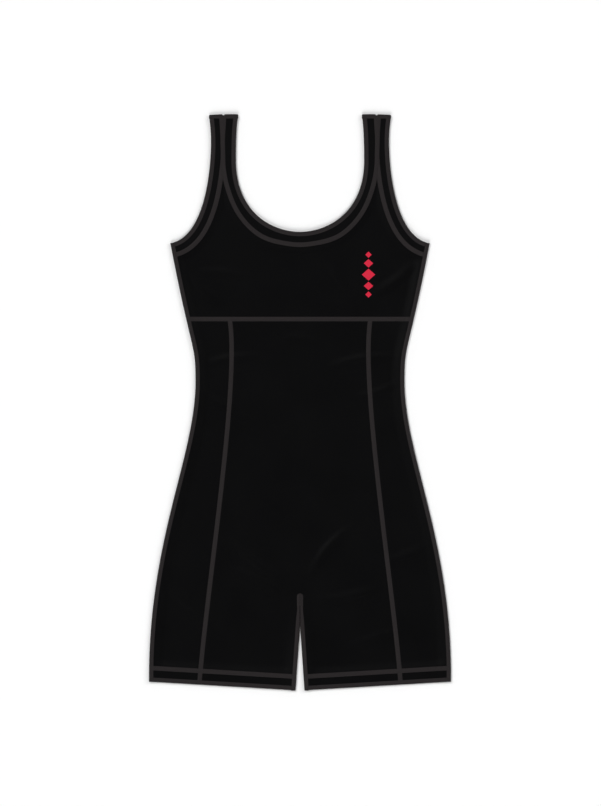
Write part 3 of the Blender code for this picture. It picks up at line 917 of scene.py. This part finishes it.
def stitch_piece(name, seams):
    points, faces = [], []
    for seam in seams:
        stitch(seam, points, faces)
    mesh = bpy.data.meshes.new(name)
    mesh.from_pydata(np.concatenate(points).tolist(), [], faces)
    bm = bmesh.new()
    bm.from_mesh(mesh)
    bmesh.ops.recalc_face_normals(bm, faces=bm.faces[:])
    bm.to_mesh(mesh)
    bm.free()
    return finished(name, mesh, finish("charcoal_thread"))


# Materials


def feed(node, inputs):
    """Gives each named input of a node its number, or links the socket that it comes from."""
    for name, value in inputs.items():
        if isinstance(value, bpy.types.NodeSocket):
            node.id_data.links.new(value, node.inputs[name])
        else:
            node.inputs[name].default_value = value


def add_node(tree, kind, inputs, **settings):
    node = tree.nodes.new(f"ShaderNode{kind}")
    for name, value in settings.items():
        setattr(node, name, value)
    feed(node, inputs)
    return node


def math_node(tree, operation, *values):
    return add_node(tree, "Math", dict(enumerate(values)), operation=operation).outputs[0]


def plain_material(name, colour, roughness, specular):
    material = bpy.data.materials.new(name)
    material.use_nodes = True
    looks = {"Base Color": colour, "Roughness": roughness, "Specular IOR Level": specular}
    feed(material.node_tree.nodes["Principled BSDF"], looks)
    return material


def knit_relief():
    """Group: the height of jersey stitches, as columns of V shapes, at a place on the cloth."""
    if "Knit Relief" in bpy.data.node_groups:
        return bpy.data.node_groups["Knit Relief"]
    tree = bpy.data.node_groups.new("Knit Relief", "ShaderNodeTree")
    for name, way, kind in (
        ("Cloth", "INPUT", "Vector"),
        ("Columns per Metre", "INPUT", "Float"),
        ("Rows per Metre", "INPUT", "Float"),
        ("Height", "OUTPUT", "Float"),
    ):
        tree.interface.new_socket(name, in_out=way, socket_type=f"NodeSocket{kind}")
    given = tree.nodes.new("NodeGroupInput").outputs
    result = tree.nodes.new("NodeGroupOutput")
    place = add_node(tree, "SeparateXYZ", {0: given["Cloth"]}).outputs
    column = math_node(tree, "MULTIPLY", place["X"], given["Columns per Metre"])
    row = math_node(tree, "MULTIPLY", place["Y"], given["Rows per Metre"])
    aside = math_node(tree, "ABSOLUTE", math_node(tree, "SUBTRACT", math_node(tree, "FRACT", column), 0.5))
    slanted = math_node(tree, "MULTIPLY_ADD", aside, STITCH_SLANT, row)
    along = math_node(tree, "COSINE", math_node(tree, "MULTIPLY", slanted, 2 * math.pi))
    along = math_node(tree, "MULTIPLY_ADD", along, STITCH_DIP, 1 - STITCH_DIP)
    from_leg = math_node(tree, "MULTIPLY_ADD", aside, 4.0, -1.0)
    across = math_node(tree, "SUBTRACT", 1.0, math_node(tree, "MULTIPLY", from_leg, from_leg))
    feed(result, {"Height": math_node(tree, "MULTIPLY", along, across)})
    return tree


def knit_material(name, colour, roughness):
    """Black jersey: fine columns of stitches, a faint sheen, and a shine that varies over the cloth."""
    material = plain_material(name, colour, roughness, KNIT_SPECULAR)
    tree = material.node_tree
    cloth = add_node(tree, "UVMap", {}).outputs["UV"]
    stitches = {"Cloth": cloth, "Columns per Metre": KNIT_COLUMNS, "Rows per Metre": KNIT_ROWS}
    relief = add_node(tree, "Group", stitches, node_tree=knit_relief()).outputs["Height"]
    bump = add_node(tree, "Bump", {"Strength": 0.5, "Distance": KNIT_DEPTH, "Height": relief})
    patches = add_node(tree, "TexNoise", {"Vector": cloth, "Scale": PATCHES_PER_METRE, "Detail": 1.5})
    varied = {
        "Value": patches.outputs["Fac"],
        "From Min": 0.3,
        "From Max": 0.7,
        "To Min": roughness - SHINE_VARIES,
        "To Max": roughness + SHINE_VARIES,
    }
    looks = {
        "Sheen Weight": KNIT_SHEEN,
        "Sheen Roughness": 0.35,
        "Normal": bump.outputs["Normal"],
        "Roughness": add_node(tree, "MapRange", varied).outputs["Result"],
    }
    feed(tree.nodes["Principled BSDF"], looks)
    return material


FINISHES = {
    # what makes it, whose colour it has, roughness, and of a plain one how strongly it shines
    "black_knit": (knit_material, "knit", 0.46),
    "black_band": (knit_material, "band", 0.49),
    "charcoal_thread": (plain_material, "thread", 0.6, 0.15),
    "red_film": (plain_material, "print_film", 0.42, 0.2),
    "pale_floor": (plain_material, "floor", 0.9, 0.2),
}


def finish(name):
    """A material, made at its first use."""
    make, whose, *looks = FINISHES[name]
    return bpy.data.materials.get(name) or make(name, getattr(colours(), whose), *looks)


# Operators


class UNITARD_OT_front(bpy.types.Operator):
    """Makes the bodice, the middle front and the side fronts"""

    bl_idname = "unitard.front"
    bl_label = "Front panels"

    def execute(self, context):
        spacing = sizes().spacing
        bodice = bodice_grid(EMPIRE_Y + GAP / 2, top_line(spacing), round(BODICE_SPAN / spacing))
        rows = body_rows(EMPIRE_Y - GAP / 2, spacing)
        centre = body_grid(rows, centre_places, seam_places(-1), round(CENTRE_SPAN / spacing))
        side = body_grid(rows, seam_places(1), side_places, round(SIDE_SPAN / spacing))
        for name, grid, halves, dips in (
            ("front_bodice", bodice, (1, -1), [np.s_[0, :], np.s_[-1, :]]),
            ("front_centre", centre, (1, -1), [np.s_[0, :], np.s_[:, -1]]),
            ("front_side_left", side, (1,), [np.s_[0, :], np.s_[:, 0]]),
            ("front_side_right", side, (-1,), [np.s_[0, :], np.s_[:, 0]]),
        ):
            section = panel_section(grid, dips)
            rests = [front_rest(half * grid[..., 0], grid[..., 1]) for half in halves]
            parts = [(grid, *section, 1, half, rest) for half, rest in zip(halves, rests, strict=True)]
            made = sheet_piece(f"{name}_knit", parts, finish("black_knit"), name)
        return {"FINISHED"}


class UNITARD_OT_back(bpy.types.Operator):
    """Makes the back, one piece from the straps to the hems"""

    bl_idname = "unitard.back"
    bl_label = "Back panel"

    def execute(self, context):
        spacing = BACK_COARSER * sizes().spacing
        upper = bodice_grid(EMPIRE_Y, top_line(spacing), round(BACK_SPAN / spacing))[::-1]
        low = upper[-1, :, 0]
        rolled = len(ROLL_ANGLES)
        side = low[rolled - 1]
        shares = (side - low[rolled:-rolled]) / (side - low[-rolled])
        rows = body_rows(EMPIRE_Y, spacing)[1:]
        lower = body_grid(rows, centre_places, side_places, widths=1 - shares[::-1])[:, ::-1]
        grid = np.concatenate([upper, lower])
        parts = [(grid, *panel_section(grid, []), -1, half, 0 * grid[..., 0]) for half in (1, -1)]
        made = sheet_piece("back_knit", parts, finish("black_knit"), "back")
        return {"FINISHED"}


def band_sheet(name):
    """A band's flat grid, how far its face is lowered, how thick it is, and its places along the knit."""
    inset = sizes().inset
    edge, seam = BANDS[name]["edge"], BANDS[name]["seam"]
    along = run_lengths(edge)
    rows = []
    for on_edge, on_seam in band_stations(name, sizes().spacing)[0]:
        a, b = place_at(edge, on_edge), place_at(seam, on_seam)
        width = np.linalg.norm(b - a)
        into = np.array([*(inset + FOLD_CUTS), *(BAND_COLUMNS * width), width - BAND_SEAM_CUT, width])
        lowered, thickness = fold_section(into - inset, BAND - inset)
        lowered[-2:] += BAND_SEAM_LOWERED
        thickness[-2:] -= BAND_SEAM_THINNED
        at = np.interp(on_edge, np.arange(len(along)), along)
        points = a + (b - a) * (into / width)[:, None]
        rows.append((points, inset + lowered, thickness, np.stack([into, at + 0 * into], axis=1)))
    return (np.array(column) for column in zip(*rows, strict=True))


class UNITARD_OT_bands(bpy.types.Operator):
    """Makes the doubled bands of the neck and the armholes"""

    bl_idname = "unitard.bands"
    bl_label = "Neck and armhole bands"

    def execute(self, context):
        for name, sides in (("neck", {"": (1, -1)}), ("armhole", {"_left": (1,), "_right": (-1,)})):
            grid, lowered, thickness, grain = band_sheet(name)
            rest = band_rest(grid[..., 0], grid[..., 1])
            for place, layer in (("front", 1), ("back", -1)):
                for side, halves in sides.items():
                    node = f"{name}_band_{place}{side}"
                    parts = [(grid, lowered, thickness, layer, half, rest, grain) for half in halves]
                    made = sheet_piece(f"{node}_knit", parts, finish("black_band"), node)
        return {"FINISHED"}


def line_out(make_y, start, end, count=200):
    """A line across the garment, from one place to another, at heights that make_y gives."""
    x = np.linspace(start, end, count)
    return np.stack([x, make_y(x)], axis=1)


def line_down(make_x, top, bottom, count=200):
    y = np.linspace(top, bottom, count)
    return np.stack([make_x(y), y], axis=1)


def trimmed(name, which):
    """A band's line between the middles of the shoulder's and the side's stitching, and its way in."""
    band = BANDS[name]
    reach = stitching().width / 2 + unrolled(ROLL)
    keep = from_shoulder(band[which]) >= reach
    if name == "armhole":
        keep &= from_side(band[which]) >= reach
    return band[which][keep], band["way_in"][keep]


def both_halves(line, across):
    """A line that ends on the centre line, carried on up the other half."""
    mirror = np.array([-1, 1])
    return np.vstack([line, line[-2::-1] * mirror]), np.vstack([across, across[-2::-1] * mirror])


def under_edges(x, y):
    """Where the stitching of the side, shoulder and inner leg lies on top."""
    width = stitching().width - TUCKED
    side = (side_x(y) - x < width) & (y < UNDERARM_Y)
    shoulder = (SHOULDER_Y - y < width) & (y > STRAPS_Y)
    inner_leg = (x - inner_leg_x(y) < width) & (y < CROTCH_Y)
    return side | shoulder | inner_leg


def seam_rest(x, y):
    """The height of the front beside a band's seam: the panel's, and on the strap the other band's."""
    on_strap = smooth((y - HORN_TIP_Y + TIP_BELOW) / TIP_FADE)
    return front_rest(x, y) * (1 - on_strap) + band_rest(x, y) * on_strap


def strap_width(y):
    """The width of the strap's middle stitching, which spreads a little towards the shoulder."""
    share = (y - STRAP_NARROWEST_Y) / (SHOULDER_Y - STRAP_NARROWEST_Y)
    return stitching().width + STRAP_SPREAD * smooth(share)


def pair(line, across, rests, **how):
    """The same stitching on both halves of the garment."""
    return [Seam(line, across, rests, half=half, **how) for half in (1, -1)]


def band_seams(layer):
    """Stitching of the seams between the bands and the panels, and up the straps."""
    rests = (band_rest, seam_rest) if layer > 0 else ON_BANDS
    line, way_in = both_halves(*trimmed("neck", "seam"))
    width = strap_width(line[:, 1])
    neck = Seam(line, way_in, rests, layer, width=width, under=under_edges, bridge=TINY)
    line, way_in = trimmed("armhole", "seam")
    kept = line[:, 1] < HORN_TIP_Y + STRAP_OVERLAP
    line, way_in = line[kept], way_in[kept]
    width = stitching().width - STRAP_TAPER * smooth((line[:, 1] - HORN_TIP_Y) / STRAP_OVERLAP)

    def under_neck(x, y):
        to_neck = distance_to(BANDS["neck"]["seam"], x, y)
        return under_edges(x, y) | (to_neck < stitching().width * UNDER_SHARE["strap"])

    return [neck, *pair(line, way_in, rests, layer=layer, width=width, under=under_neck)]


def hem_run(make_y):
    """A line along the wearer's left hem, between the middles of the stitching at its ends."""
    width = stitching().width
    return line_out(make_y, HEM_INNER_X + width / 2, HEM_SIDE_X - width / 2)


def edge_seams(layer):
    """Stitching over the folded edges of the bands and the hems."""
    inset = sizes().inset
    how = {"layer": layer, "kind": "fold", "fold": (BAND - inset) / 2, "under": under_edges}
    neck = Seam(*both_halves(*trimmed("neck", "edge")), ON_BANDS, bridge=TINY, **how)
    armholes = pair(*trimmed("armhole", "edge"), ON_BANDS, **how)
    how["fold"] = (HEM - inset) / 2
    return [neck, *armholes, *pair(hem_run(hem_edge_y), UP, ON_PANELS, **how)]


def hem_seams():
    """Stitching that holds the hems up, on the front and on the back."""
    hem = hem_run(hem_line_y)
    front, back = (pair(hem, UP, ON_PANELS, layer=layer, under=under_edges) for layer in (1, -1))
    return front + back


def panel_seams():
    """Stitching of the seam under the bust and of the princess seams."""
    width = stitching().width
    side = side_x(EMPIRE_Y) - width / 2
    empire = line_out(lambda x: EMPIRE_Y + 0 * x, -side, side)
    at = run_lengths(PRINCESS)
    princess = place_at(PRINCESS, np.linspace(0, at[-1], round(at[-1] / LINE_STEP) + 1), at)
    princess = princess[princess[:, 1] > hem_edge_y(princess[:, 0]) + width / 2]

    def under_others(x, y):
        near_edge = y - hem_edge_y(x) < UNDER_SHARE["edge"] * width
        to_seam = np.minimum(np.abs(y - hem_line_y(x)), np.abs(y - EMPIRE_Y))
        return near_edge | (to_seam < UNDER_SHARE["seam"] * width)

    bust = Seam(empire, UP, ON_PANELS, under=under_edges, bridge=TINY)
    return [bust, *pair(princess, normals(princess, -1), ON_PANELS, under=under_others)]


def side_seams():
    side = line_down(lambda y: side_x(y) + unrolled(ROLL), SIDE_STITCH_Y, HEM_SIDE_Y)
    return pair(side, IN, ON_PANELS, kind="wrap")


def shoulder_seams():
    ends = STRAP_NECK_X + STITCH_END, STRAP_ARM_X - STITCH_END
    top = line_out(lambda x: shoulder_y(x) + unrolled(ROLL), *ends, 90)
    width = stitching().width - (SHOULDER_Y - shoulder_y(top[:, 0]))
    return pair(top, DOWN, ON_BANDS, kind="wrap", width=width)


def leg_seams():
    """Stitching of the inner legs, narrow where they meet, and the tacks across the point between them."""
    leg = line_down(lambda y: inner_leg_x(y) - unrolled(inner_leg_roll(y)), CROTCH_Y, HEM_INNER_Y)
    opened = smooth((CROTCH_Y - TACK_BELOW - leg[:, 1]) / (CROTCH_Y - TACK_BELOW - SLIT_OPENS_Y))
    width = TACK_WIDTH / 2 + (stitching().width - TACK_WIDTH / 2) * opened
    width -= unrolled(ROLL) - unrolled(inner_leg_roll(leg[:, 1]))

    def under_tack(x, y):
        return y > CROTCH_Y - TACK_BELOW + TACK_OVERLAP

    seams = pair(leg, OUT, ON_PANELS, kind="wrap", width=width, under=under_tack)
    tack = line_down(lambda y: 0 * y, CROTCH_Y + TACK_ABOVE, CROTCH_Y - TACK_BELOW)
    to_end = run_lengths(tack) / (TACK_WIDTH / 2)
    width = TACK_WIDTH * np.sqrt(1 - np.clip(1 - to_end, 0, TACK_BLUNT) ** 2)
    for layer in (1, -1):
        bar = Seam(tack, OUT, ON_PANELS, layer, width=width, bridge=TACK_BRIDGE)
        bar.raised, bar.pitch = TACK_RAISED, TACK_PITCH
        seams.append(bar)
    return seams


class UNITARD_OT_stitching(bpy.types.Operator):
    """Makes the flat stitching of the seams, the hems and the edges"""

    bl_idname = "unitard.stitching"
    bl_label = "Stitching"

    def execute(self, context):
        for name, seams in {
            "front_band": band_seams(1),
            "back_band": band_seams(-1),
            "front_edge": edge_seams(1),
            "back_edge": edge_seams(-1),
            "panel": panel_seams(),
            "hem": hem_seams(),
            "side": side_seams(),
            "shoulder": shoulder_seams(),
            "inner_leg": leg_seams(),
        }.items():
            stitch_piece(f"{name}_stitching", seams)
        return {"FINISHED"}


class UNITARD_OT_print(bpy.types.Operator):
    """Makes the small printed row of lozenges on the wearer's left breast"""

    bl_idname = "unitard.print"
    bl_label = "Print"

    def execute(self, context):
        u, v = np.meshgrid(*(np.linspace(-1, 1, count) for count in LOZENGE_CUTS))
        parts = []
        for rise, width, height in LOZENGES:
            x = PRINT_X + u * (LOZENGE_POINT - np.abs(v)) * width * MM / 2
            y = PRINT_Y + (rise + v * height / 2) * MM
            lowered = np.full(x.shape, sizes().inset - PRINT_FILM)
            thickness = np.full(x.shape, 2 * PRINT_FILM)
            parts.append((np.stack([x, y], axis=-1), lowered, thickness, 1, 1, front_rest(x, y)))
        sheet_piece("breast_print", parts, finish("red_film"))
        return {"FINISHED"}


def light_room(scene):
    """Soft suns, and a room that is bright at the height of the floor and dim overhead."""
    scene.world = bpy.data.worlds.new("soft_room")
    scene.world.use_nodes = True
    tree = scene.world.node_tree
    place = add_node(tree, "TexCoord", {}).outputs["Generated"]
    up = add_node(tree, "SeparateXYZ", {0: place}).outputs["Z"]
    fading = {"Value": up, "From Min": 0.25, "From Max": 0.8, "To Min": 0.5, "To Max": 0.024}
    glow = add_node(tree, "MapRange", fading).outputs[0]
    seen = add_node(tree, "LightPath", {}).outputs["Is Camera Ray"]
    white = {"Color": (1, 1, 1, 1), "Strength": math_node(tree, "MAXIMUM", glow, seen)}
    feed(tree.nodes["Background"], white)
    for name, direction, height, spread, strength in SUNS:
        light = bpy.data.lights.new(name, "SUN")
        light.angle, light.energy = math.radians(spread), strength
        lamp = bpy.data.objects.new(name, light)
        scene.collection.objects.link(lamp)
        a, e = math.radians(direction), math.radians(height)
        way = Vector((math.sin(a) * math.cos(e), math.cos(a) * math.cos(e), math.sin(e)))
        lamp.location = way * SUN_DISTANCE
        lamp.rotation_euler = way.to_track_quat("Z", "Y").to_euler()


def place_camera(scene):
    """Straight above, so that one pixel of the picture is a given length on the cloth."""
    stage = scene.unitard_stage
    camera = bpy.data.objects.new("camera", bpy.data.cameras.new("camera"))
    scene.collection.objects.link(camera)
    scene.camera = camera
    camera.data.lens, camera.data.sensor_width = stage.lens, SENSOR
    height = stage.pixel * stage.rows * stage.lens / SENSOR + 2 * CLOTH
    aside, down = PICTURE_SHIFT
    camera.location = (aside * stage.pixel, down * stage.pixel, height)
    scene.view_settings.view_transform = "Standard"


class UNITARD_OT_stage(bpy.types.Operator):
    """Makes the floor, the lights, the surroundings and the camera"""

    bl_idname = "unitard.stage"
    bl_label = "Stage"

    def execute(self, context):
        bpy.ops.mesh.primitive_plane_add(size=FLOOR_WIDTH)
        floor = context.object
        floor.name = "floor"
        floor.data.materials.append(finish("pale_floor"))
        light_room(context.scene)
        place_camera(context.scene)
        return {"FINISHED"}


class UNITARD_PT_panel(bpy.types.Panel):
    """Lists the steps and their sizes"""

    bl_label = "Unitard"
    bl_idname = "UNITARD_PT_panel"
    bl_space_type = "VIEW_3D"
    bl_region_type = "UI"
    bl_category = "Unitard"

    def draw(self, context):
        for group in ("unitard_sizes", "unitard_stitching", "unitard_colours", "unitard_stage"):
            box = self.layout.box()
            settings = getattr(context.scene, group)
            for name in type(settings).__annotations__:
                box.prop(settings, name)
        for operator in OPERATORS:
            self.layout.operator(operator.bl_idname)


GROUPS = {
    "unitard_sizes": UnitardSizes,
    "unitard_stitching": UnitardStitching,
    "unitard_colours": UnitardColours,
    "unitard_stage": UnitardStage,
}
OPERATORS = (
    UNITARD_OT_back,
    UNITARD_OT_front,
    UNITARD_OT_bands,
    UNITARD_OT_stitching,
    UNITARD_OT_print,
    UNITARD_OT_stage,
)
CLASSES = (*GROUPS.values(), *OPERATORS, UNITARD_PT_panel)


def register():
    for cls in CLASSES:
        bpy.utils.register_class(cls)
    for name, group in GROUPS.items():
        setattr(bpy.types.Scene, name, PointerProperty(type=group))


def unregister():
    for name in GROUPS:
        delattr(bpy.types.Scene, name)
    for cls in reversed(CLASSES):
        bpy.utils.unregister_class(cls)


def main():
    register()
    bpy.ops.unitard.back()
    bpy.ops.unitard.front()
    bpy.ops.unitard.bands()
    bpy.ops.unitard.stitching()
    bpy.ops.unitard.print()
    bpy.ops.unitard.stage()


if __name__ == "__main__":
    main()
